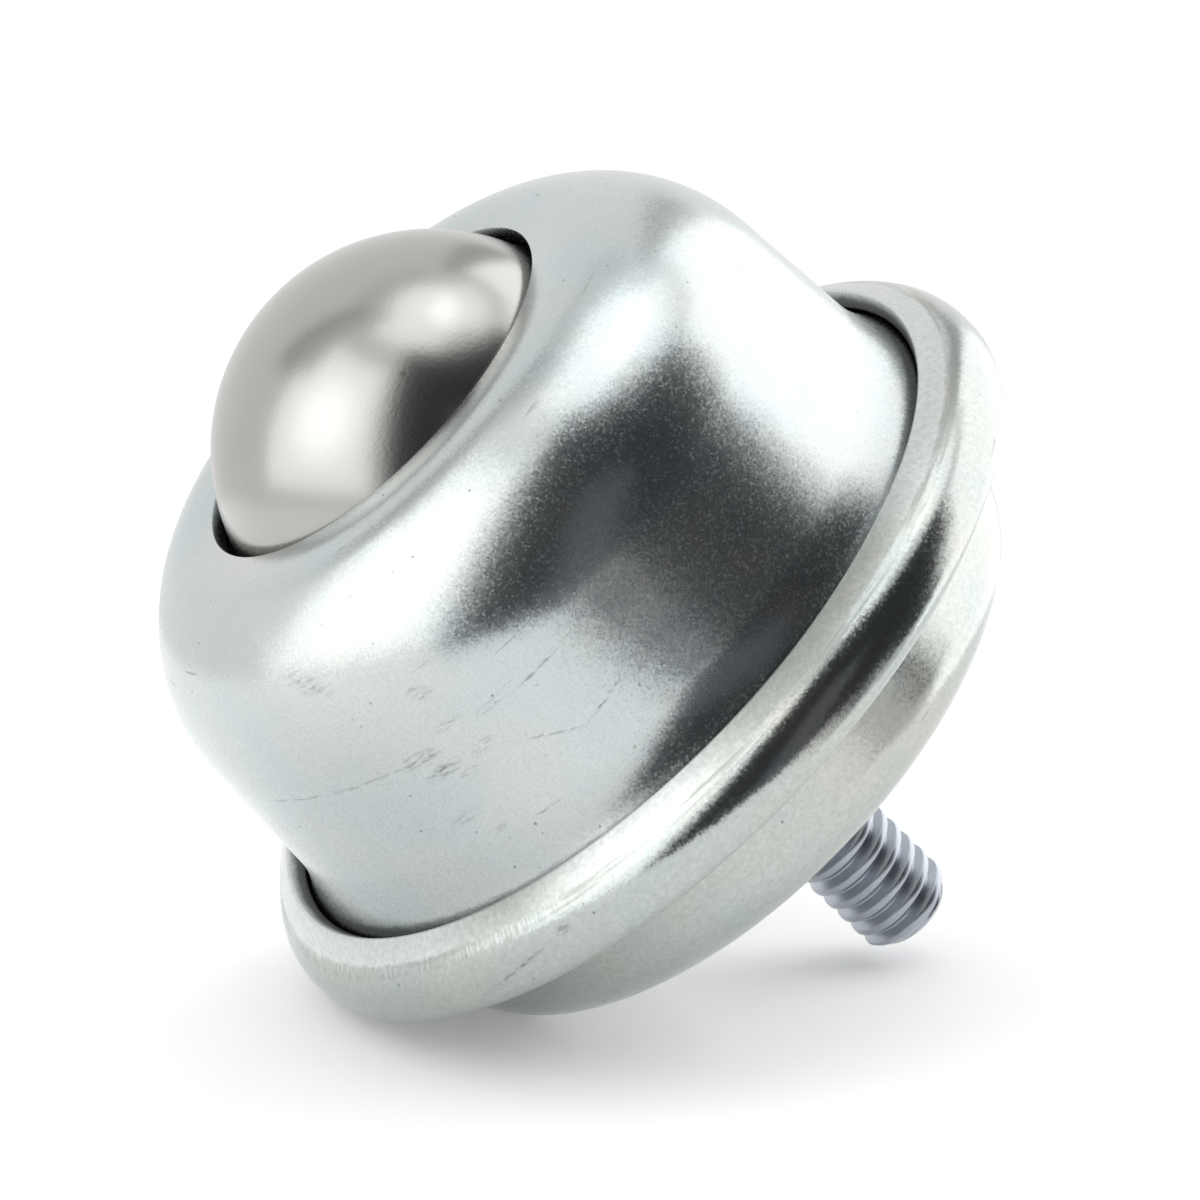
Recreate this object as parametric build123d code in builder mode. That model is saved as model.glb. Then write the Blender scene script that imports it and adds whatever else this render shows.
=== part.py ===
from build123d import *
import os
from math import acos, asin, cos, degrees, floor, pi, radians, sin, sqrt, tan

os.makedirs("parts", exist_ok=True)

# Stud mount ball transfer unit, in millimetres. The origin is on the axis, in the plane of the base's
# flat seat: the stud points down from there, and the load ball stands out at the top.

# Balls
LOAD_BALL_DIAMETER = 25.4
LOAD_BALL_HEIGHT = 27.1  # its centre above the seat
BEARING_BALL_DIAMETER = 4.7625
BEARING_BALL_SPACING = 0.1  # room between neighbouring bearing balls
BEARING_BALL_ROWS = 4  # rows round the ball at the pole
RUNNING_CLEARANCE = 0.1  # each side of a bearing ball

# Sheet metal
SHEET = 1.2
RACE_WALL = 1.5

# Top cover
OPENING_DIAMETER = 24.7
COVER_TOP_RISE = 5.3  # flat top face above the load ball's centre
SHOULDER_RADIUS = 10.5
COVER_ROOM = 2.7875  # from the race's outside to the cover's outside, where the shoulder meets the wall
SHOULDER_CREST = 0.7  # how far the shoulder's round would rise above the flat top face
WALL_DRAFT = 4.3  # degrees
TOP_EDGE_BLEND = 5.0  # between the flat top face and the shoulder
FLARE_RADIUS = 7.0  # of the wall's foot, which flares out under the lip

# Base cup with its folded rim
BASE_DIAMETER = 43.4  # where the wall's line meets the seat
BASE_CORNER_RADIUS = 4.0
BASE_FLANGE_FILLET = 1.2
RIM_OVERHANG = 4.3  # from the line of the cover's wall to the outside of the rim
RIM_HEIGHT = 8.0  # underside of the rim above the seat
RIM_FACE = 3.3  # from that underside to where the rim's face would meet the lip's slope
RIM_CORNER_INSIDE = 0.1  # radius inside the rim's lower corner
LIP_BEND_RADIUS = 3.0  # outside
LIP_ANGLE = 34.0  # degrees from the horizontal
LIP_LENGTH = 3.25  # along its slope
LIP_CLEARANCE = 0.12  # between the lip's lower edge and the foot of the cover
FOOT_INSET = 1.5  # least distance from the outside of the rim to the edge of that foot

# Stud, and the ring under the race
STUD_DIAMETER = 6.35
STUD_LENGTH = 15.875
STUD_CHAMFER = 0.8
STUD_NECK_DIAMETER = 8.4
STUD_HEAD_DIAMETER = 14.0
STUD_HEAD_HEIGHT = 4.0
STUD_HEAD_FILLET = 1.0
NECK_CLEARANCE = 0.05
SUPPORT_DIAMETER = 24.0
SUPPORT_WALL = 3.4
SEAT_CLEARANCE = 0.05  # between curved faces that rest on each other

# Radii and heights that follow from them
load_radius = LOAD_BALL_DIAMETER / 2
bearing_radius = BEARING_BALL_DIAMETER / 2
pitch_radius = load_radius + RUNNING_CLEARANCE + bearing_radius
race_radius = pitch_radius + bearing_radius + RUNNING_CLEARANCE
race_outer_radius = race_radius + RACE_WALL

opening_radius = OPENING_DIAMETER / 2
cover_top = LOAD_BALL_HEIGHT + COVER_TOP_RISE
shoulder_height = cover_top + SHOULDER_CREST - SHOULDER_RADIUS
shoulder_centre = race_outer_radius + COVER_ROOM - SHOULDER_RADIUS
shoulder_turn = degrees(asin((cover_top - shoulder_height) / SHOULDER_RADIUS)) - WALL_DRAFT

flange_top = RIM_HEIGHT + 2 * SHEET
draft = tan(radians(WALL_DRAFT))
wall_start_radius = shoulder_centre + SHOULDER_RADIUS * cos(radians(WALL_DRAFT))
wall_start_height = shoulder_height + SHOULDER_RADIUS * sin(radians(WALL_DRAFT))
wall_foot_radius = wall_start_radius + (wall_start_height - flange_top) * draft
base_foot_radius = BASE_DIAMETER / 2
base_wall_radius = base_foot_radius + RIM_HEIGHT * draft

rim_radius = wall_foot_radius + RIM_OVERHANG
rim_top = RIM_HEIGHT + RIM_FACE
rim_corner_radius = SHEET + RIM_CORNER_INSIDE
lip_edge_radius = rim_radius - LIP_LENGTH * cos(radians(LIP_ANGLE))
lip_edge_height = rim_top + LIP_LENGTH * sin(radians(LIP_ANGLE))

# The cover's foot leaves the wall where its flare just passes under the lip's lower edge. It ends where
# its underside rests on the base's flange, or before that inside the fold.
lip_under_radius = lip_edge_radius - SHEET * sin(radians(LIP_ANGLE))
lip_under_height = lip_edge_height - SHEET * cos(radians(LIP_ANGLE))
lip_across = lip_under_radius - wall_start_radius
lip_down = wall_start_height - lip_under_height
lip_along_wall = lip_across * sin(radians(WALL_DRAFT)) + lip_down * cos(radians(WALL_DRAFT))
lip_off_wall = lip_across * cos(radians(WALL_DRAFT)) - lip_down * sin(radians(WALL_DRAFT))
flare_run = sqrt((FLARE_RADIUS - LIP_CLEARANCE) ** 2 - (FLARE_RADIUS - lip_off_wall) ** 2)
wall_length = lip_along_wall - flare_run
flare_start_radius = wall_start_radius + wall_length * sin(radians(WALL_DRAFT))
flare_start_height = wall_start_height - wall_length * cos(radians(WALL_DRAFT))
flare_centre_radius = flare_start_radius + FLARE_RADIUS * cos(radians(WALL_DRAFT))
flare_centre_height = flare_start_height + FLARE_RADIUS * sin(radians(WALL_DRAFT))
flare_rest = degrees(asin((flare_centre_height - RIM_HEIGHT - SHEET) / (FLARE_RADIUS + SHEET)))
flare_reach = degrees(acos((flare_centre_radius - rim_radius + FOOT_INSET) / FLARE_RADIUS))
flare_turn = min(flare_rest, flare_reach) - WALL_DRAFT

# The race's rim stops just under the inside of the cover's shoulder.
shoulder_inside = SHOULDER_RADIUS - SHEET
race_rim_rise = sqrt(shoulder_inside**2 - (race_outer_radius - shoulder_centre) ** 2)
race_rim = shoulder_height + race_rim_rise - 2 * RUNNING_CLEARANCE


# Top cover: flat round the opening, a wide shoulder, a slightly flared wall and a foot that runs out
with BuildPart() as top_cover:
    with BuildSketch(Plane.XZ):
        with BuildLine() as outside:
            shoulder = CenterArc(
                (shoulder_centre, shoulder_height), SHOULDER_RADIUS, WALL_DRAFT, shoulder_turn
            )
            Line((opening_radius, cover_top), shoulder @ 1)
            foot = CenterArc(
                (flare_centre_radius, flare_centre_height), FLARE_RADIUS, 180 + WALL_DRAFT, flare_turn
            )
            Line(shoulder @ 0, foot @ 0)
            top_edge = outside.vertices().sort_by_distance(shoulder @ 1)[0]
            fillet(top_edge, radius=TOP_EDGE_BLEND)
            offset(amount=SHEET, side=Side.LEFT)
        make_face()
    revolve(axis=Axis.Z)
top_cover.part.label = "top_cover"
export_step(top_cover.part, "parts/top_cover.step")

# Base cup: flat floor, round corner, wall, flange, and the rim folded in over the cover's flange
with BuildPart() as base_cup:
    with BuildSketch(Plane.XZ):
        with BuildLine():
            FilletPolyline(
                (STUD_NECK_DIAMETER / 2 + NECK_CLEARANCE, 0),
                (base_foot_radius, 0),
                (base_wall_radius, RIM_HEIGHT),
                (rim_radius, RIM_HEIGHT),
                (rim_radius, rim_top),
                (lip_edge_radius, lip_edge_height),
                radius=[BASE_CORNER_RADIUS, BASE_FLANGE_FILLET, rim_corner_radius, LIP_BEND_RADIUS],
            )
            offset(amount=SHEET, side=Side.LEFT)
        make_face()
    revolve(axis=Axis.Z)
base_cup.part.label = "base_cup"
export_step(base_cup.part, "parts/base_cup.step")

# Bearing cup: half a sphere with a short straight rim
with BuildPart() as bearing_cup:
    with BuildSketch(Plane.XZ):
        with BuildLine():
            bowl = CenterArc((0, LOAD_BALL_HEIGHT), race_radius, -90, 90)
            Line(bowl @ 1, (race_radius, race_rim))
            offset(amount=RACE_WALL, side=Side.RIGHT)
        make_face()
    revolve(axis=Axis.Z)
bearing_cup.part.label = "bearing_cup"
export_step(bearing_cup.part, "parts/bearing_cup.step")

# Ring on the floor of the base, dished on top to carry the bearing cup
with BuildPart() as cup_support:
    with BuildSketch(Plane.XY.offset(SHEET)):
        Circle(SUPPORT_DIAMETER / 2)
        Circle(SUPPORT_DIAMETER / 2 - SUPPORT_WALL, mode=Mode.SUBTRACT)
    extrude(amount=LOAD_BALL_HEIGHT - SHEET)
    with Locations((0, 0, LOAD_BALL_HEIGHT)):
        Sphere(race_outer_radius + SEAT_CLEARANCE, mode=Mode.SUBTRACT)
cup_support.part.label = "cup_support"
export_step(cup_support.part, "parts/cup_support.step")

# Stud: shank below the seat, neck through the floor, head inside
with BuildPart() as stud:
    with BuildSketch(Plane.XY):
        Circle(STUD_DIAMETER / 2)
    extrude(amount=-STUD_LENGTH)
    chamfer(stud.edges().sort_by(Axis.Z)[0], length=STUD_CHAMFER)
    with BuildSketch(Plane.XY):
        Circle(STUD_NECK_DIAMETER / 2)
    extrude(amount=SHEET)
    with BuildSketch(Plane.XY.offset(SHEET)):
        Circle(STUD_HEAD_DIAMETER / 2)
    extrude(amount=STUD_HEAD_HEIGHT)
    fillet(stud.edges().sort_by(Axis.Z)[-1], radius=STUD_HEAD_FILLET)
stud.part.label = "stud"
export_step(stud.part, "parts/stud.step")

# Load ball, with its poles on the level axis that it rolls about
with BuildPart() as load_ball:
    with Locations((0, 0, LOAD_BALL_HEIGHT)):
        Sphere(load_radius, rotation=(90, 0, 0))
load_ball.part.label = "load_ball"
export_step(load_ball.part, "parts/load_ball.step")

# Bearing balls: one under the pole of the load ball, then rows round it, each as full as it can be.
# A row's angle is measured at the load ball's centre, from straight down. Six balls fit round the first.
ball_room = BEARING_BALL_DIAMETER + BEARING_BALL_SPACING
row_step = asin(ball_room / pitch_radius)
places = [(0, 0, LOAD_BALL_HEIGHT - pitch_radius)]
for row in range(1, BEARING_BALL_ROWS + 1):
    row_radius = pitch_radius * sin(row * row_step)
    row_height = LOAD_BALL_HEIGHT - pitch_radius * cos(row * row_step)
    count = floor(pi / asin(ball_room / 2 / row_radius) + 0.001)
    for index in range(count):
        turn = 2 * pi * index / count
        places.append((row_radius * cos(turn), row_radius * sin(turn), row_height))

for number, place in enumerate(places, start=1):
    with BuildPart() as bearing_ball:
        with Locations(place):
            Sphere(bearing_radius)
    bearing_ball.part.label = f"bearing_ball_{number:02d}"
    export_step(bearing_ball.part, f"parts/bearing_ball_{number:02d}.step")
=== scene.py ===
# %% [markdown]
# # A stud mount ball transfer unit
# The CAD model gives every size and every moving body. Blender adds what the CAD leaves out: smooth
# pressed walls, a real thread, and the zinc and steel finishes. The imported model is loaded first.

# %% Load the imported model
from math import asin, atan2, copysign, cos, degrees, pi, radians, sin, tan

import bmesh
import bpy
from mathutils import Matrix, Vector


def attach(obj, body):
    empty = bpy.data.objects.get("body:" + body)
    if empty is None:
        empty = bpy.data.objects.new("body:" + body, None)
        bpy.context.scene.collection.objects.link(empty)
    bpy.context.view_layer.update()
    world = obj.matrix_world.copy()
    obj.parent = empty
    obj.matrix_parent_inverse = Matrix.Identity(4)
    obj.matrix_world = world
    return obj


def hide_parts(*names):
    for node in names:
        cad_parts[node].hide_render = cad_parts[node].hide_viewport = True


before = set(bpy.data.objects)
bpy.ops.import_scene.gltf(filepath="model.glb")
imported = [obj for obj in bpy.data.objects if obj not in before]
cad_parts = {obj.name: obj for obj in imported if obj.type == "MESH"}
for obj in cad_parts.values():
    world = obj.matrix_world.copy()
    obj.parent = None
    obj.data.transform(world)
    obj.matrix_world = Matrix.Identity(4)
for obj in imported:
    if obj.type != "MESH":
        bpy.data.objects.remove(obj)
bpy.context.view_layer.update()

MM = 0.001

# %% [markdown]
# ## Turning a profile
# The cover and the base are pressed from round sheet blanks, so each is one profile turned about the
# unit's axis. A profile is drawn as by hand: one point is placed, extruded for each straight run, and
# spun about a centre for each bend. Spinning gives true arcs, which matters on bright metal, because a
# reflection shows every flat. The finished profile is then spun once round the axis. All sizes are in
# millimetres and all angles in degrees.

# %% Tools for drawing and turning a profile
TURN_STEPS = 180
MERGE = 0.002 * MM  # points closer than this become one


def start_profile(name, radius, height):
    """A new mesh, open in edit mode, with one selected point in the XZ plane."""
    bpy.ops.object.select_all(action="DESELECT")
    bpy.ops.mesh.primitive_plane_add(size=MM)
    bpy.context.object.name = bpy.context.object.data.name = name
    bpy.ops.object.mode_set(mode="EDIT")
    bpy.ops.mesh.merge(type="CENTER")
    bpy.ops.transform.translate(value=(radius * MM, 0, height * MM))


def pen():
    """Where the selected point is."""
    return next(v.co for v in bmesh.from_edit_mesh(bpy.context.object.data).verts if v.select)


def line_to(radius, height):
    """A straight run from the selected point."""
    step = Vector((radius * MM, 0, height * MM)) - pen()
    bpy.ops.mesh.extrude_vertices_move(TRANSFORM_OT_translate={"value": step})


def arc(radius, height, angle, steps):
    """A bend from the selected point about a centre. It turns left where the angle is positive."""
    centre = (radius * MM, 0, height * MM)
    bpy.ops.mesh.spin(steps=steps, angle=radians(angle), center=centre, axis=(0, 1, 0))


def bend_at(corner, after, radius, steps):
    """A straight run towards a corner, rounded off there towards the point that comes after it."""
    here, corner = Vector(pen().xz) / MM, Vector(corner)
    run_in = (corner - here).normalized()
    run_out = (Vector(after) - corner).normalized()
    turn = atan2(run_in.cross(run_out), run_in.dot(run_out))
    start = corner - run_in * radius * tan(abs(turn) / 2)
    line_to(*start)
    arc(*(start + Vector((-run_in.y, run_in.x)) * copysign(radius, turn)), degrees(turn), steps)


def turn_profile():
    """Spins the drawn profile once round the unit's axis and closes the seam."""
    bpy.ops.mesh.select_all(action="SELECT")
    bpy.ops.mesh.spin(steps=TURN_STEPS, angle=2 * pi, center=(0, 0, 0), axis=(0, 0, 1))
    bpy.ops.mesh.select_all(action="SELECT")
    bpy.ops.mesh.remove_doubles(threshold=MERGE)
    bpy.ops.mesh.normals_make_consistent(inside=False)
    bpy.ops.object.mode_set(mode="OBJECT")
    return bpy.context.object


def apply_modifier(piece, kind, **settings):
    """Adds a modifier with these settings and applies it."""
    modifier = piece.modifiers.new(kind.title(), kind)
    for name, value in settings.items():
        setattr(modifier, name, value)
    bpy.context.view_layer.objects.active = piece
    bpy.ops.object.modifier_apply(modifier=modifier.name)


# %% [markdown]
# ## Top cover
# The cover is flat round the opening, rolls over a wide shoulder, widens a little down its wall and ends
# in a foot that flares out under the folded rim. Only its outside is drawn. Solidify then gives the sheet
# its 1.2 mm inwards, and a small bevel rounds the cut edge at the opening, where a bright line shows.

# %% Top cover
SHEET = 1.2
WALL_DRAFT = 4.3
OPENING_RADIUS = 12.35
COVER_TOP = 32.4
SHOULDER_RADIUS = 10.5
SHOULDER_CENTRE = (11.45, 22.6)
TOP_BLEND = 5.0  # radius between the flat top and the shoulder
WALL_FOOT = (22.5130, 15.5065)  # where the wall begins to flare
FLARE_RADIUS = 7.0
FLARE_TURN = 52.118


def thicken(piece, edge, segments):
    """Gives a turned sheet its thickness inwards and rounds its cut edges."""
    apply_modifier(piece, "SOLIDIFY", thickness=SHEET * MM, offset=-1, use_even_offset=True)
    apply_modifier(
        piece, "BEVEL", width=edge * MM, segments=segments, limit_method="ANGLE", angle_limit=radians(50)
    )
    bpy.ops.object.shade_smooth_by_angle(angle=radians(40))


# The blend touches the flat top and the inside of the shoulder's circle
blend_height = COVER_TOP - TOP_BLEND
blend_off = SHOULDER_RADIUS - TOP_BLEND
blend_angle = asin((blend_height - SHOULDER_CENTRE[1]) / blend_off)
blend_radius = SHOULDER_CENTRE[0] + blend_off * cos(blend_angle)
flare_centre = (
    WALL_FOOT[0] + FLARE_RADIUS * cos(radians(WALL_DRAFT)),
    WALL_FOOT[1] + FLARE_RADIUS * sin(radians(WALL_DRAFT)),
)
start_profile("top_cover_sheet", OPENING_RADIUS, COVER_TOP)
line_to(blend_radius, COVER_TOP)
arc(blend_radius, blend_height, degrees(blend_angle) - 90, 14)
arc(*SHOULDER_CENTRE, WALL_DRAFT - degrees(blend_angle), 40)
line_to(*WALL_FOOT)
arc(*flare_centre, FLARE_TURN, 24)
top_cover = turn_profile()
thicken(top_cover, edge=0.12, segments=2)
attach(top_cover, "housing")
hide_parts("top_cover")
print("top cover:", len(top_cover.data.polygons), "faces")

# %% [markdown]
# ## Base cup with its folded rim
# The base is the lower pressing. Its edge turns out into a flange, up round the cover's foot and in over
# it, which holds the two pressings together. The whole fold is one profile with four bends, so it is
# drawn in one go from the hole for the stud to the edge of the lip.

# %% Base cup
HOLE_RADIUS = 4.25
BASE_RADIUS = 21.7  # where the line of the wall meets the seat
RIM_RADIUS = 27.1969
RIM_BOTTOM = 8.0
RIM_TOP = 11.3  # where the rim's face would meet the slope of the lip
LIP_ANGLE = 34
LIP_LENGTH = 3.25

lip_edge = (
    RIM_RADIUS - LIP_LENGTH * cos(radians(LIP_ANGLE)),
    RIM_TOP + LIP_LENGTH * sin(radians(LIP_ANGLE)),
)
# Each bend: its corner, its radius and the number of steps in it
BENDS = (
    ((BASE_RADIUS, 0), 4.0, 20),
    ((BASE_RADIUS + RIM_BOTTOM * tan(radians(WALL_DRAFT)), RIM_BOTTOM), 1.2, 12),
    ((RIM_RADIUS, RIM_BOTTOM), 1.3, 12),
    ((RIM_RADIUS, RIM_TOP), 3.0, 16),
)
start_profile("base_cup_sheet", HOLE_RADIUS, 0)
for (corner, bend_radius, steps), after in zip(BENDS, [bend[0] for bend in BENDS[1:]] + [lip_edge]):
    bend_at(corner, after, bend_radius, steps)
line_to(*lip_edge)
base_cup = turn_profile()
thicken(base_cup, edge=0.2, segments=3)
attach(base_cup, "housing")
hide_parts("base_cup")
print("base cup:", len(base_cup.data.polygons), "faces")

# %% [markdown]
# ## Load ball
# A sphere from longitude and latitude lines has two poles where a reflection would pinch. A cube that is
# subdivided and pushed out to a sphere has even faces all over, so it rolls without a visible pole.

# %% Load ball
BALL_RADIUS = 12.7
BALL_HEIGHT = 27.1
BALL_CUTS = 47  # across each face of the cube

bpy.ops.object.select_all(action="DESELECT")
bpy.ops.mesh.primitive_cube_add(size=2 * BALL_RADIUS * MM)
load_ball = bpy.context.object
load_ball.name = load_ball.data.name = "load_ball_sphere"
bpy.ops.object.mode_set(mode="EDIT")
bpy.ops.mesh.subdivide(number_cuts=BALL_CUTS)
bpy.ops.object.mode_set(mode="OBJECT")
apply_modifier(
    load_ball, "CAST", cast_type="SPHERE", factor=1, size=BALL_RADIUS * MM, use_radius_as_size=False
)
bpy.ops.object.mode_set(mode="EDIT")
bpy.ops.mesh.select_all(action="SELECT")
bpy.ops.transform.translate(value=(0, 0, BALL_HEIGHT * MM))
bpy.ops.object.mode_set(mode="OBJECT")
bpy.ops.object.shade_smooth()
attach(load_ball, "load_ball")
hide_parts("load_ball")
print("load ball:", [round(c / MM, 3) for c in load_ball.dimensions], "mm")

# %% [markdown]
# ## Stud
# The stud is a 1/4-20 screw: 6.35 mm outside, one turn every 1.27 mm. One tooth is drawn, and the Screw
# modifier carries it round and up the shank. Bisect cuts the two ends flat. At the tip the teeth are
# pressed in to the chamfer, as a die leaves them. The neck and head inside the base are turned on their
# own and joined.

# %% Thread of the stud
PITCH = 1.27
CREST = 3.175  # outer radius
THREAD_DEPTH = 0.55
STUD_LENGTH = 15.875
THREAD_TOP = 0.4  # inside the neck
CHAMFER = 0.8
TEETH = 15
THREAD_STEPS = 48  # in each turn
# Half a tooth, from root to crest: share of the pitch along the shank, and share of the depth
TOOTH = ((0.0, 0.0), (0.06, 0.05), (0.1, 0.16), (0.28, 0.8), (0.33, 0.93), (0.39, 0.985), (0.5, 1.0))

root = CREST - THREAD_DEPTH
thread_foot = -STUD_LENGTH - 1.5 * PITCH  # below the tip, so that full teeth are cut there
start_profile("stud_screw", root, thread_foot)
for along, out in TOOTH[1:] + tuple((1 - along, out) for along, out in reversed(TOOTH[:-1])):
    line_to(root + out * THREAD_DEPTH, thread_foot + along * PITCH)
bpy.ops.object.mode_set(mode="OBJECT")
stud = bpy.context.object
apply_modifier(
    stud, "SCREW", axis="Z", angle=2 * pi, screw_offset=PITCH * MM, iterations=TEETH,
    steps=THREAD_STEPS, render_steps=THREAD_STEPS, use_merge_vertices=True, merge_threshold=MERGE,
)
bpy.ops.object.mode_set(mode="EDIT")
bpy.ops.mesh.select_all(action="SELECT")
bpy.ops.mesh.remove_doubles(threshold=MERGE)
for height, above in ((-STUD_LENGTH, False), (THREAD_TOP, True)):
    bpy.ops.mesh.select_all(action="SELECT")
    bpy.ops.mesh.bisect(
        plane_co=(0, 0, height * MM), plane_no=(0, 0, 1), use_fill=True, threshold=1e-7,
        clear_inner=not above, clear_outer=above,
    )
bpy.ops.mesh.select_all(action="SELECT")
bpy.ops.mesh.normals_make_consistent(inside=False)
bpy.ops.object.mode_set(mode="OBJECT")
for vertex in stud.data.vertices:
    radius = vertex.co.xy.length
    most = (CREST - max(0, CHAMFER - STUD_LENGTH - vertex.co.z / MM)) * MM
    if radius > most:
        vertex.co.xy *= most / radius
print("thread:", len(stud.data.polygons), "faces,", [round(c / MM, 2) for c in stud.dimensions], "mm")

# %% Neck and head of the stud, joined to its thread
NECK_RADIUS = 4.2
HEAD_RADIUS = 7.0
HEAD_TOP = 5.2
HEAD_FILLET = 1.0

start_profile("stud_head", 0, 0)
for radius, height in ((NECK_RADIUS, 0), (NECK_RADIUS, SHEET), (HEAD_RADIUS, SHEET)):
    line_to(radius, height)
bend_at((HEAD_RADIUS, HEAD_TOP), (0, HEAD_TOP), HEAD_FILLET, 6)
line_to(0, HEAD_TOP)
stud_head = turn_profile()
bpy.ops.object.select_all(action="DESELECT")
stud_head.select_set(True)
stud.select_set(True)
bpy.context.view_layer.objects.active = stud
bpy.ops.object.join()
bpy.ops.object.shade_smooth_by_angle(angle=radians(28))
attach(stud, "housing")
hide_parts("stud")
print("stud:", len(stud.data.polygons), "faces")

# %% [markdown]
# ## Materials from nodes
# Every finish is made of Blender's own nodes, with no pictures. Colours are written as sRGB hex, as a
# colour picker shows them, and one function turns them to the linear values that shaders use. One more
# small function adds a node, sets it and links it, so that each finish below reads as a list of nodes.
# Many sockets share a name with another, so most go by number. A Map Range takes its value as 0, the
# range it comes from as 1 and 2 and the range it goes to as 3 and 4. A Mix takes its share as 0, two
# colours as 6 and 7, and two plain values as 2 and 3.

# %% Colour and node helpers


def linear(hex_colour):
    """An sRGB hex colour as linear RGBA."""
    channels = [int(hex_colour[i : i + 2], 16) / 255 for i in (1, 3, 5)]
    return (*[c / 12.92 if c < 0.04045 else ((c + 0.055) / 1.055) ** 2.4 for c in channels], 1)


def add_node(tree, kind, inputs=None, **settings):
    """Adds a node with its settings. An input is a value, an output to link, or a node for its result."""
    node = tree.nodes.new("ShaderNode" + kind)
    for name, value in settings.items():
        setattr(node, name, value)
    for socket, value in (inputs or {}).items():
        if isinstance(value, bpy.types.Node):
            value = next(output for output in value.outputs if output.enabled)
        if isinstance(value, bpy.types.NodeSocket):
            tree.links.new(value, node.inputs[socket])
        else:
            node.inputs[socket].default_value = value
    return node


def new_material(name):
    """A material with an empty node tree."""
    material = bpy.data.materials.new(name)
    material.use_nodes = True
    material.node_tree.nodes.clear()
    return material, material.node_tree


def in_millimetres(tree):
    """The piece's own coordinates, in millimetres."""
    place = add_node(tree, "TexCoord")
    return add_node(tree, "Mapping", {"Vector": place.outputs["Object"], "Scale": (1 / MM, 1 / MM, 1 / MM)})


def unroll(tree, place, radius):
    """Height, turn in radians, and the place on the surface unrolled at this radius."""
    axes = add_node(tree, "SeparateXYZ", {0: place})
    turn = add_node(tree, "Math", {0: axes.outputs["Y"], 1: axes.outputs["X"]}, operation="ARCTAN2")
    around = add_node(tree, "Math", {0: turn, 1: radius}, operation="MULTIPLY")
    return axes.outputs["Z"], turn, add_node(tree, "CombineXYZ", {0: around, 1: axes.outputs["Z"]})


def away_from(tree, middle, value):
    """How far a value is from a middle one."""
    off = add_node(tree, "Math", {0: value, 1: middle}, operation="SUBTRACT")
    return add_node(tree, "Math", {0: off}, operation="ABSOLUTE")


def paint(piece, material):
    """Gives the whole piece one material."""
    piece.data.materials.clear()
    piece.data.materials.append(material)


# %% [markdown]
# ## Bright zinc plate on pressed steel
# Zinc plating is a pale, slightly blue metal made of tiny crystals. Each crystal lies a little differently,
# so a reflection is clear in its middle and breaks into grains at its edges. A bump of noise would look
# like leather here, so each cell of a fine Voronoi pattern gets its own small tilt and its own gloss. The
# plating bath adds faint clouds, the press leaves the sheet a little uneven, and handling adds rub marks
# that run round the unit. All patterns are in millimetres.

# %% Zinc: clouds, uneven sheet and crystals
zinc, tree = new_material("bright_zinc_plated_steel")
millimetres = in_millimetres(tree)

# Clouds about 8 mm across, between a cooler and a warmer grey
clouds = add_node(tree, "TexNoise", {"Vector": millimetres, "Scale": 1 / 8, "Detail": 7})
cloud_share = add_node(tree, "MapRange", {0: clouds, 1: 0.35, 2: 0.65})
tint = add_node(tree, "Mix", {0: cloud_share, 6: linear("#bfc8c9"), 7: linear("#c8cbc8")}, data_type="RGBA")

# The pressed sheet is uneven by a hundredth or two over about 5 mm
uneven = add_node(tree, "TexNoise", {"Vector": millimetres, "Scale": 1 / 5, "Detail": 2})
sheet_bump = add_node(tree, "Bump", {"Height": uneven, "Strength": 1.0, "Distance": 0.05 * MM})

# Crystals. The real ones are finer still and are drawn at 0.12 mm so that they show.
CRYSTAL_TILT = 0.04
crystals = add_node(tree, "TexVoronoi", {"Vector": millimetres, "Scale": 1 / 0.12}).outputs["Color"]
crystal_value = add_node(tree, "SeparateColor", {0: crystals})
centred = add_node(tree, "VectorMath", {0: crystals, 1: (0.5, 0.5, 0.5)}, operation="SUBTRACT")
tilted = add_node(
    tree, "VectorMath", {0: centred, 1: [CRYSTAL_TILT] * 3, 2: sheet_bump}, operation="MULTIPLY_ADD"
)
crystal_normal = add_node(tree, "VectorMath", {0: tilted}, operation="NORMALIZE")
dull_crystals = add_node(tree, "MapRange", {0: crystal_value.outputs[1], 1: 0.7, 2: 1.0, 3: 0, 4: 0.09})

# %% Zinc: rub marks, hairlines and specks
# The marks seen on the wall and the rim: turn round the unit in degrees, height, length and width in mm,
# tilt in degrees and strength
WALL_RADIUS = 22
MARKS = (
    (-125, 21.9, 2.8, 1.0, -3, 0.9), (-123.5, 20.6, 2.4, 1.0, 4, 0.9), (-116, 20.6, 1.8, 0.7, 14, 0.7),
    (-120.5, 19.7, 1.4, 0.7, 10, 0.7), (-126.5, 17.5, 2.4, 0.8, 8, 0.45), (-123, 15.9, 1.4, 0.5, 7, 0.5),
    (-117.5, 25.2, 1.6, 0.9, -30, 0.6), (-117.5, 22.8, 2.0, 0.6, 0, 0.5), (-110.5, 22.3, 2.2, 0.6, 0, 0.5),
    (-101, 22.2, 4.2, 0.3, 6, 0.9), (-98.5, 18.2, 3.4, 0.2, 12, 0.8), (-107, 18.7, 4.2, 0.2, -28, 0.7),
    (-116, 15.4, 2.2, 0.2, 0, 0.6), (-152, 22.4, 9.0, 0.22, -1, 0.6), (-135, 22.1, 9.0, 0.26, -3, 0.7),
    (-134, 28.4, 3.6, 1.3, -29, 0.6), (-121, 11.0, 0.8, 0.6, 0, 1.0), (-130.4, 10.1, 5.4, 0.3, 14, 0.9),
)
height, turn, unrolled = unroll(tree, millimetres, WALL_RADIUS)
marked = 0.0
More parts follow.
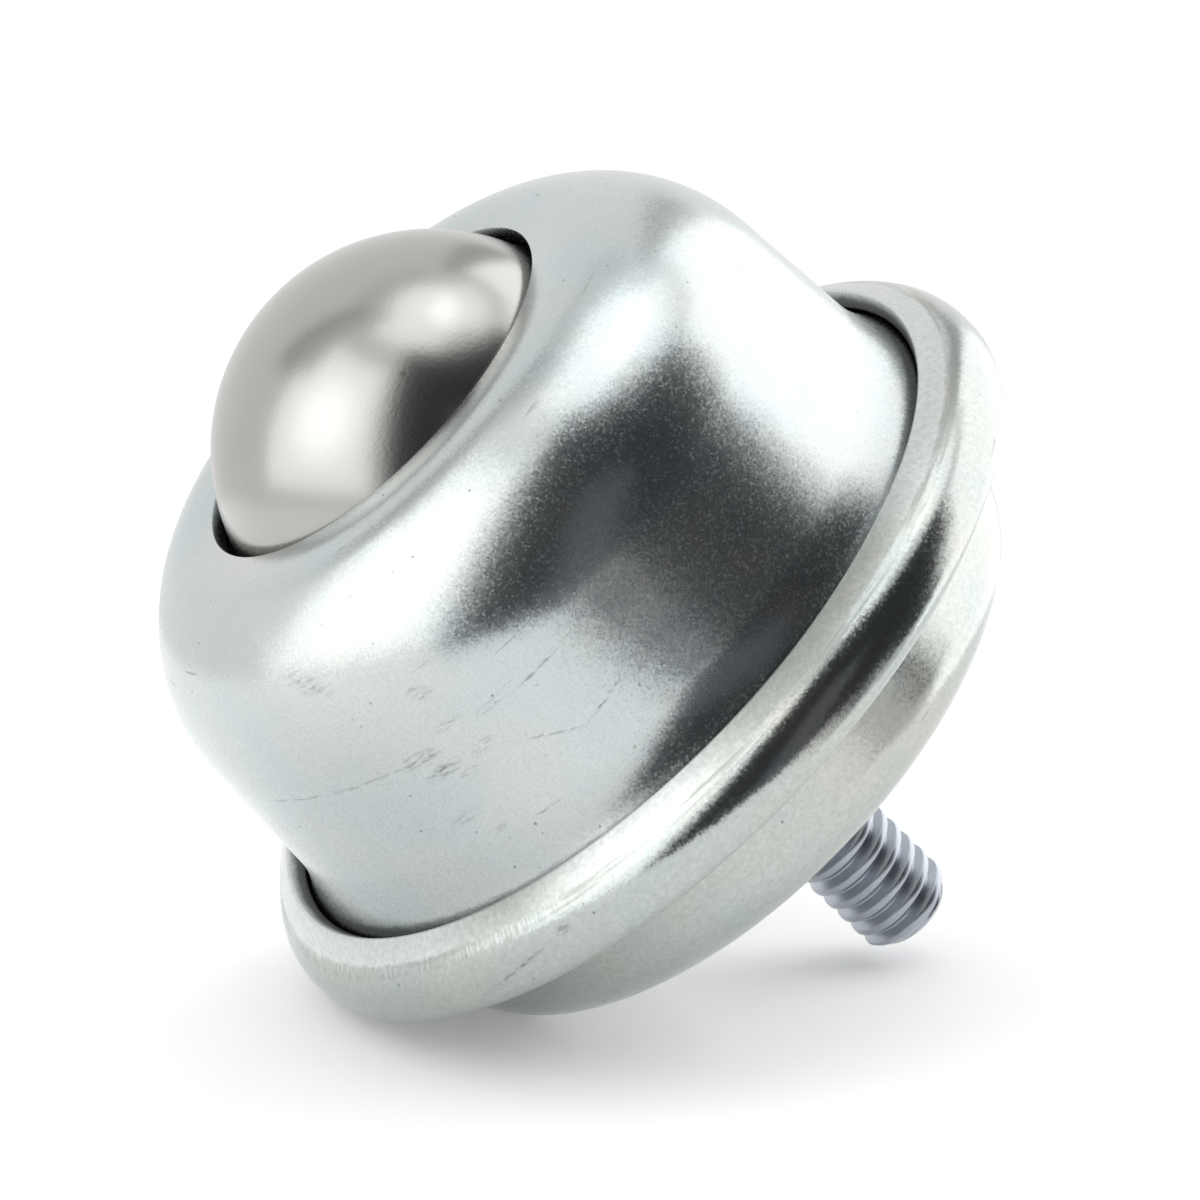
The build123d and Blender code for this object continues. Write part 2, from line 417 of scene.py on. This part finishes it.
for mark_turn, mark_height, length, width, tilt, strength in MARKS:
    mark_place = add_node(
        tree,
        "Mapping",
        {
            "Vector": unrolled,
            "Location": (radians(mark_turn) * WALL_RADIUS, mark_height, 0),
            "Rotation": (0, 0, radians(tilt)),
            "Scale": (length / 2, width / 2, 1),
        },
        vector_type="TEXTURE",
    )
    away = add_node(tree, "VectorMath", {0: mark_place}, operation="LENGTH")
    near = add_node(tree, "MapRange", {0: away, 1: 1.25, 2: 0.3, 3: 0, 4: strength})
    marked = add_node(tree, "Math", {0: near, 1: marked}, operation="MAXIMUM")

# Each mark is made of strokes about 0.9 mm long and 0.2 mm wide, with finer ones in them
stroke_place = add_node(tree, "Mapping", {"Vector": unrolled, "Scale": (1 / 0.9, 1 / 0.2, 1)})
strokes = add_node(
    tree, "TexNoise", {"Vector": stroke_place, "Scale": 1.0, "Detail": 6, "Roughness": 0.65}
)
stroke_edge = add_node(tree, "MapRange", {0: strokes, 1: 0.45, 2: 0.6})
rub_marks = add_node(tree, "Math", {0: marked, 1: stroke_edge}, operation="MULTIPLY")

# Hairlines all round, about 6 mm long and 0.1 mm wide
hair_place = add_node(tree, "Mapping", {"Vector": unrolled, "Scale": (1 / 6, 1 / 0.3, 1)})
hairs = add_node(tree, "TexNoise", {"Vector": hair_place, "Scale": 1.0, "Detail": 3})
hairline = add_node(tree, "MapRange", {0: hairs, 1: 0.69, 2: 0.76, 3: 0, 4: 0.6})

# Specks of 0.1 to 0.2 mm, a millimetre or two apart, on some cells only
cells = add_node(tree, "TexVoronoi", {"Vector": millimetres, "Scale": 1 / 1.2})
speck_size = add_node(tree, "MapRange", {0: cells.outputs["Distance"], 1: 0.05, 2: 0.1, 3: 1, 4: 0})
cell_value = add_node(tree, "SeparateColor", {0: cells.outputs["Color"]})
some_cells = add_node(tree, "MapRange", {0: cell_value, 1: 0.45, 2: 1.0})
specks = add_node(tree, "Math", {0: speck_size, 1: some_cells}, operation="MULTIPLY")

# %% Zinc: the finished surface
lines = add_node(tree, "Math", {0: rub_marks, 1: hairline}, operation="MAXIMUM")
marks = add_node(tree, "Math", {0: lines, 1: specks}, operation="MAXIMUM")
mark_share = add_node(tree, "Math", {0: marks, 1: 0.75}, operation="MULTIPLY")
crystal_shade = add_node(tree, "MapRange", {0: crystal_value.outputs[2], 3: 0.96, 4: 1.03})
crystal_tint = add_node(tree, "VectorMath", {0: tint, "Scale": crystal_shade}, operation="SCALE")
colour = add_node(tree, "Mix", {0: mark_share, 6: crystal_tint, 7: linear("#6d706f")}, data_type="RGBA")
cloud_gloss = add_node(tree, "MapRange", {0: clouds, 3: 0.18, 4: 0.28})
plate_gloss = add_node(tree, "Math", {0: cloud_gloss, 1: dull_crystals}, operation="ADD")
roughness = add_node(tree, "Math", {0: marks, 1: 0.2, 2: plate_gloss}, operation="MULTIPLY_ADD")
shader = add_node(
    tree,
    "BsdfPrincipled",
    {"Base Color": colour, "Metallic": 1.0, "Roughness": roughness, "Normal": crystal_normal},
    name="plate",
)
add_node(tree, "OutputMaterial", {"Surface": shader})
rim_zinc = zinc.copy()  # the rim's finish starts from this one

# %% Zinc: painted shade darkens the cover's foot where it runs in under the lip, with a painted shadow line at the crevice
ragged_foot_height = add_node(tree, "Math", {0: strokes, 1: 0.4, 2: height}, operation="MULTIPLY_ADD")
# A broad painted shade on the flared foot, where it faces the dark under the lip
painted_foot_shade = add_node(tree, "MapRange", {0: ragged_foot_height, 1: 16.0, 2: 13.6, 3: 0, 4: 0.18})
# A painted shadow line where the foot meets the lip's edge
painted_crevice_shadow = add_node(tree, "MapRange", {0: ragged_foot_height, 1: 13.05, 2: 12.75, 3: 0, 4: 0.65})
painted_shade_share = add_node(tree, "Math", {0: painted_foot_shade, 1: painted_crevice_shadow}, operation="MAXIMUM")
painted_shade_colour = add_node(tree, "Mix", {0: painted_shade_share, 6: colour.outputs[2], 7: linear("#53585c")}, data_type="RGBA")
tree.links.new(painted_shade_colour.outputs[2], shader.inputs["Base Color"])
paint(top_cover, zinc)
print("zinc plate:", len(tree.nodes), "nodes")

# %% [markdown]
# ## Worn zinc on the folded rim
# The fold was pressed hard against its tool. The flat of the lip is left pale and sandy, a little rougher
# than the plate and darker in two stretches round the rim, and its cut edge is dark. Along the bend the
# tool rubbed a strip: fine lines along the rim, and short lines across it for a stretch. The finish is a
# copy of the zinc plate, with those bands mixed in by height above the seat and distance from the axis.

# %% Worn zinc: where the lip, its cut edge and the rubbed strip are
RUB_RADIUS = 26
RAGGED = 0.3  # how far the edges of these bands wander

rim_zinc.name = "worn_zinc_plated_rim"
tree = rim_zinc.node_tree
millimetres = in_millimetres(tree)
height, turn, unrolled = unroll(tree, millimetres, RUB_RADIUS)
level = add_node(tree, "Mapping", {"Vector": millimetres, "Scale": (1, 1, 0)})
radius = add_node(tree, "VectorMath", {0: level}, operation="LENGTH")
wander = add_node(
    tree, "TexNoise", {"Vector": millimetres, "Scale": 1 / 1.2, "Detail": 8, "Roughness": 0.65}
)
ragged_height = add_node(tree, "Math", {0: wander, 1: RAGGED, 2: height}, operation="MULTIPLY_ADD")
ragged_radius = add_node(tree, "Math", {0: wander, 1: RAGGED, 2: radius}, operation="MULTIPLY_ADD")
lip = add_node(tree, "MapRange", {0: ragged_height, 1: 12.3, 2: 12.42})
strip_start = add_node(tree, "MapRange", {0: ragged_height, 1: 11.78, 2: 11.95})
strip = add_node(tree, "Math", {0: strip_start, 1: lip}, operation="SUBTRACT")
inner = add_node(tree, "MapRange", {0: ragged_radius, 1: 24.5, 2: 24.3})
cut_edge = add_node(tree, "Math", {0: inner, 1: strip_start}, operation="MULTIPLY")

# %% Worn zinc: rub lines along the rim and across it, and where the lip is darker
RUBS = ((5.0, 0.22), (0.25, 1.2))  # length along the rim and width of the lines, in mm
CROSS_RUBS = (-148, 32)  # middle and half of the stretch with lines across, in degrees
DARKER_STRETCHES = ((-127, 15), (-73, 27))  # the same for the stretches where the lip is darker

rubs = []
for length, width in RUBS:
    rub_place = add_node(tree, "Mapping", {"Vector": unrolled, "Scale": (1 / length, 1 / width, 1)})
    rub = add_node(tree, "TexNoise", {"Vector": rub_place, "Scale": 1.0, "Detail": 4})
    rubs.append(add_node(tree, "MapRange", {0: rub, 1: 0.42, 2: 0.64}))
middle, half = CROSS_RUBS
away = away_from(tree, radians(middle), turn)
across = add_node(tree, "MapRange", {0: away, 1: radians(half), 2: radians(half - 12)})
rub_lines = add_node(tree, "Mix", {0: across, 2: rubs[0], 3: rubs[1]}, data_type="FLOAT")
rubbed = add_node(tree, "Math", {0: strip, 1: rub_lines}, operation="MULTIPLY")
# The lip's colour is made darker in these stretches of its turn round the rim
darker_stretch = 0.0
for middle, half in DARKER_STRETCHES:
    away = away_from(tree, radians(middle), turn)
    within = add_node(tree, "MapRange", {0: away, 1: radians(half), 2: radians(half - 14)})
    darker_stretch = add_node(tree, "Math", {0: within, 1: darker_stretch}, operation="MAXIMUM")

# %% Worn zinc: mixed into the copied finish
shader = tree.nodes["plate"]
plate_colour = shader.inputs["Base Color"].links[0].from_socket
plate_roughness = shader.inputs["Roughness"].links[0].from_socket

# A sandy mottle of about 0.35 mm on the lip and, fainter, on the rest
sand = add_node(
    tree, "TexNoise", {"Vector": millimetres, "Scale": 1 / 0.35, "Detail": 6, "Roughness": 0.7}
)
mottle = add_node(tree, "MapRange", {0: sand, 1: 0.3, 2: 0.7})
sandy_lip = add_node(tree, "Mix", {0: mottle, 6: linear("#bec2bf"), 7: linear("#dadddb")}, data_type="RGBA")
lip_shade = add_node(
    tree, "Mix", {0: darker_stretch, 6: sandy_lip, 7: linear("#d4d4d0")}, data_type="RGBA", blend_type="MULTIPLY"
)
face_shade = add_node(tree, "Mix", {0: mottle, 6: linear("#e4e3de"), 7: linear("#f9f8f5")}, data_type="RGBA")
face_colour = add_node(
    tree, "Mix", {0: 1.0, 6: plate_colour, 7: face_shade}, data_type="RGBA", blend_type="MULTIPLY"
)
lip_colour = add_node(tree, "Mix", {0: lip, 6: face_colour, 7: lip_shade}, data_type="RGBA")
rub_share = add_node(tree, "Math", {0: rubbed, 1: 0.5}, operation="MULTIPLY")
rub_colour = add_node(tree, "Mix", {0: rub_share, 6: lip_colour, 7: linear("#83847f")}, data_type="RGBA")
rim_colour = add_node(tree, "Mix", {0: cut_edge, 6: rub_colour, 7: linear("#74746e")}, data_type="RGBA")
worn = add_node(tree, "Math", {0: lip, 1: rubbed}, operation="MAXIMUM")
rougher = add_node(tree, "Math", {0: worn, 1: cut_edge}, operation="MAXIMUM")
face_roughness = add_node(tree, "Math", {0: plate_roughness, 1: 0.75}, operation="MULTIPLY")
rim_roughness = add_node(tree, "Mix", {0: rougher, 2: face_roughness, 3: 0.31}, data_type="FLOAT")
tree.links.new(rim_colour.outputs[2], shader.inputs["Base Color"])
tree.links.new(rim_roughness.outputs[0], shader.inputs["Roughness"])
paint(base_cup, rim_zinc)
print("worn rim:", len(tree.nodes), "nodes")

# %% [markdown]
# ## Satin steel of the load ball
# The ball is hardened and tumbled, not polished, so its reflections are soft and its grey is warmer and
# darker than the zinc. A few small pits show where it has run.

# %% Load ball steel
ball_steel, tree = new_material("satin_hardened_ball_steel")
millimetres = in_millimetres(tree)
clouds = add_node(tree, "TexNoise", {"Vector": millimetres, "Scale": 1 / 5, "Detail": 3})
tint = add_node(tree, "Mix", {0: clouds, 6: linear("#abaaa7"), 7: linear("#b4b3af")}, data_type="RGBA")

# Pits of 0.2 to 0.5 mm on some cells of 2.2 mm
cells = add_node(tree, "TexVoronoi", {"Vector": millimetres, "Scale": 1 / 2.2})
pit_size = add_node(tree, "MapRange", {0: cells.outputs["Distance"], 1: 0.05, 2: 0.11, 3: 1, 4: 0})
cell_value = add_node(tree, "SeparateColor", {0: cells.outputs["Color"]})
some_cells = add_node(tree, "Math", {0: cell_value, 1: 0.6}, operation="GREATER_THAN")
pits = add_node(tree, "Math", {0: pit_size, 1: some_cells}, operation="MULTIPLY")
pit_share = add_node(tree, "Math", {0: pits, 1: 0.4}, operation="MULTIPLY")
colour = add_node(tree, "Mix", {0: pit_share, 6: tint, 7: linear("#6f6a66")}, data_type="RGBA")
grain = add_node(tree, "TexNoise", {"Vector": millimetres, "Scale": 1 / 0.25, "Detail": 2})
bump = add_node(tree, "Bump", {"Height": grain, "Strength": 0.1, "Distance": 0.04 * MM})
shader = add_node(
    tree, "BsdfPrincipled", {"Base Color": colour, "Metallic": 1.0, "Roughness": 0.22, "Normal": bump}
)
add_node(tree, "OutputMaterial", {"Surface": shader})
paint(load_ball, ball_steel)
print("ball steel:", len(tree.nodes), "nodes")

# %% [markdown]
# ## Zinc plate on the rolled thread
# A thread is rolled or cut before it is plated, which leaves it smoother and bluer than the pressings.

# %% Stud zinc plate
thread_zinc, tree = new_material("blue_zinc_plated_thread")
millimetres = in_millimetres(tree)
clouds = add_node(tree, "TexNoise", {"Vector": millimetres, "Scale": 1 / 1.5, "Detail": 4})
tint = add_node(tree, "Mix", {0: clouds, 6: linear("#a7adb6"), 7: linear("#babfc6")}, data_type="RGBA")
roughness = add_node(tree, "MapRange", {0: clouds, 3: 0.26, 4: 0.4})
grain = add_node(tree, "TexNoise", {"Vector": millimetres, "Scale": 1 / 0.2, "Detail": 2})
bump = add_node(tree, "Bump", {"Height": grain, "Strength": 0.12, "Distance": 0.04 * MM})
shader = add_node(
    tree, "BsdfPrincipled", {"Base Color": tint, "Metallic": 1.0, "Roughness": roughness, "Normal": bump}
)
add_node(tree, "OutputMaterial", {"Surface": shader})
paint(stud, thread_zinc)
print("thread zinc:", len(tree.nodes), "nodes")

# %% [markdown]
# ## Steel inside the housing
# The race, its support ring and the bearing balls stay as the CAD gives them. They are sealed in and can
# hardly be seen, but each still gets the finish of the real piece: plain hardened steel with a film of
# oil for the race, and polished chrome steel for the balls.

# %% Race steel and bearing ball steel
bearing_balls = [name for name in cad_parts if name.startswith("bearing_ball")]
# Each finish: its darker and paler colour, its lowest and highest roughness, and the pieces that have it
INNER_STEELS = (
    ("oiled_race_steel", "#75777a", "#8d8f91", 0.3, 0.45, ["bearing_cup", "cup_support"]),
    ("polished_bearing_steel", "#c2c3c6", "#cfd0d2", 0.08, 0.16, bearing_balls),
)
for finish, dark, pale, smoothest, roughest, pieces in INNER_STEELS:
    inner_steel, tree = new_material(finish)
    clouds = add_node(tree, "TexNoise", {"Vector": in_millimetres(tree), "Scale": 1 / 3, "Detail": 4})
    tint = add_node(tree, "Mix", {0: clouds, 6: linear(dark), 7: linear(pale)}, data_type="RGBA")
    roughness = add_node(tree, "MapRange", {0: clouds, 3: smoothest, 4: roughest})
    shader = add_node(tree, "BsdfPrincipled", {"Base Color": tint, "Metallic": 1.0, "Roughness": roughness})
    add_node(tree, "OutputMaterial", {"Surface": shader})
    for piece in pieces:
        paint(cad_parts[piece], inner_steel)
    print(finish, "on", len(pieces), "pieces")

# %% [markdown]
# ## Floor and camera
# The unit lies on its side. The CAD frame keeps it upright, so here the floor is tilted instead, and the
# camera with it. The floor runs under the round corner of the base, and the folded rim and the end of the
# stud come within a millimetre of it. It shows white to the camera where no shadow falls, and is
# see-through from below, so that other views can look at the unit from any side.

# %% Floor under the base's corner
FLOOR_UP = Vector((0.702, 0.060, 0.710)).normalized()
FLOOR_DROP = 13.84
FLOOR_RADIUS = 115
FLOOR_SIDES = 96
CONTACT = 6  # how close to the unit its shadow on the floor is deepened
FLOOR_LIFT = (0.16, 0.315)  # glow that lifts the floor to white: where the unit closes it in, and in the open
CAMERA_TILT = 66.89
CAMERA_ROLL = -46.04

camera_place = Vector((0.5, -304.4, 143.0)) * MM
towards_camera = camera_place - FLOOR_UP * camera_place.dot(FLOOR_UP)
towards_camera.normalize()
to_the_right = towards_camera.cross(FLOOR_UP) * -1
floor_frame = Matrix((to_the_right, -towards_camera, FLOOR_UP)).transposed()

bpy.ops.object.select_all(action="DESELECT")
bpy.ops.mesh.primitive_circle_add(vertices=FLOOR_SIDES, radius=FLOOR_RADIUS * MM, fill_type="NGON")
floor = bpy.context.object
floor.name = "studio_floor"
floor.matrix_world = Matrix.Translation(FLOOR_UP * -FLOOR_DROP * MM) @ floor_frame.to_4x4()

floor_paper, tree = new_material("white_paper_floor")
rays = add_node(tree, "LightPath")
paper = add_node(tree, "BsdfDiffuse", {"Color": linear("#eeeeee")})
# The floor's glow is dimmed close to the unit: a painted contact shadow on top of the one the lamps cast
openness = add_node(tree, "AmbientOcclusion", {"Distance": CONTACT * MM}, samples=8)
lift_strength = add_node(
    tree, "MapRange", {0: openness.outputs["AO"], 3: FLOOR_LIFT[0], 4: FLOOR_LIFT[1]}
)
lift = add_node(tree, "Emission", {"Color": (1, 1, 1, 1), "Strength": lift_strength})
seen_paper = add_node(tree, "AddShader", {0: paper, 1: lift})
seen_or_mirrored = add_node(
    tree,
    "Math",
    {0: rays.outputs["Is Camera Ray"], 1: rays.outputs["Is Glossy Ray"]},
    operation="MAXIMUM",
)
front = add_node(tree, "MixShader", {0: seen_or_mirrored, 1: paper, 2: seen_paper})
clear = add_node(tree, "BsdfTransparent")
side = add_node(tree, "NewGeometry")
surface = add_node(tree, "MixShader", {0: side.outputs["Backfacing"], 1: front, 2: clear})
add_node(tree, "OutputMaterial", {"Surface": surface})
paint(floor, floor_paper)

# %% Camera at the photograph's angle
bpy.ops.object.camera_add(location=camera_place)
camera = bpy.context.object
camera.rotation_mode = "ZYX"
camera.rotation_euler = (radians(CAMERA_TILT), 0, radians(CAMERA_ROLL))
camera.data.sensor_width = 36
camera.data.lens = 170.19
camera.data.clip_start = 0.01
bpy.context.scene.camera = camera
print("camera", [round(c / MM, 1) for c in camera.location], "mm")

# %% [markdown]
# ## Light
# Bright metal shows the studio more than itself. Two large softboxes stand to the left and right, the
# ceiling is lit, and the room behind the camera is dark: that gives the white bands and the charcoal
# patch on the cover. All of it is far away compared with the part, so the world's shader draws it, as
# soft-edged windows. A window's place is given as seen from the part: an angle round the floor, 0 towards
# the camera and positive to its right, and an angle above the floor.

# %% Angles round and above the floor, for every direction of the world
world = bpy.data.worlds.new("studio")
bpy.context.scene.world = world
world.use_nodes = True
tree = world.node_tree
tree.nodes.clear()
sky_place = add_node(tree, "TexCoord").outputs["Generated"]
right, front, up = [
    add_node(tree, "VectorMath", {0: sky_place, 1: way}, operation="DOT_PRODUCT")
    for way in (to_the_right, towards_camera, FLOOR_UP)
]
turn = add_node(tree, "Math", {0: right, 1: front}, operation="ARCTAN2")
turn_degrees = add_node(tree, "Math", {0: turn}, operation="DEGREES")
rise = add_node(tree, "Math", {0: up}, operation="ARCSINE")
rise_degrees = add_node(tree, "Math", {0: rise}, operation="DEGREES")

# %% Softboxes, ceiling and the dark side of the room
# Each window: middle and half width round the floor, middle and half height above it, soft edge, all in
# degrees, then colour and brightness. A window covers those above it in the list.
STUDIO = (
    ("lit_ceiling", 0, 200, 90, 16, 8, "#ffffff", 1.85),
    ("ceiling_lamp", 75, 88, 90, 12, 24, "#ffffff", 2.8),
    ("front_ceiling", -28, 45, 74, 10, 8, "#ffffff", 1.8),
    ("ceiling_edge", -125, 50, 64, 6, 8, "#ffffff", 0.82),
    ("left_softbox_frame", -102, 9, 46, 20, 10, "#ffffff", 0.5),
    ("left_softbox", -60, 31, 19, 31.5, 6, "#ffffff", 1.75),
    ("left_softbox_lamp", -58, 16, 20, 16, 28, "#ffffff", 2.6),
    ("left_softbox_corner", -91, 9, 46, 14, 10, "#ffffff", 0.7),
    ("right_softbox", 127.5, 35.5, 23, 36, 6, "#ffffff", 1.9),
    ("right_softbox_frame", 170.5, 6, 44, 18, 6, "#ffffff", 0.55),
    ("right_ceiling", 108, 46, 72, 6, 8, "#ffffff", 1.75),
    ("dark_room", 31.5, 53.5, 22.5, 40.5, 10, "#f0f3ff", 0.045),
    ("lit_floor", 56, 34, -15, 9, 8, "#ffffff", 0.7),
    ("lit_floor_beside", 76, 14, -8, 9, 7, "#ffffff", 0.8),
    ("lighter_wall", 24, 12, 4, 28, 10, "#f2f4ff", 0.15),
)
glow = (1, 1, 1, 1)
for name, middle, half_width, height, half_height, soft, colour, brightness in STUDIO:
    edges = []
    for angle, centre, half in ((turn_degrees, middle, half_width), (rise_degrees, height, half_height)):
        away = away_from(tree, centre, angle)
        fade = {0: away, 1: half - soft / 2, 2: half + soft / 2, 3: 1, 4: 0}
        edges.append(add_node(tree, "MapRange", fade, interpolation_type="SMOOTHSTEP"))
    inside = add_node(tree, "Math", {0: edges[0], 1: edges[1]}, operation="MULTIPLY", label=name)
    shine = [channel * brightness for channel in linear(colour)[:3]] + [1]
    glow = add_node(tree, "Mix", {0: inside, 6: glow, 7: shine}, data_type="RGBA")
print("studio:", len(STUDIO), "windows")

# %% White background for the camera
rays = add_node(tree, "LightPath")
seen = add_node(
    tree, "Mix", {0: rays.outputs["Is Camera Ray"], 6: glow, 7: (1, 1, 1, 1)}, data_type="RGBA"
)
sky = add_node(tree, "Background", {"Color": seen, "Strength": 1.0})
add_node(tree, "OutputWorld", {"Surface": sky})
bpy.context.scene.view_settings.view_transform = "Standard"
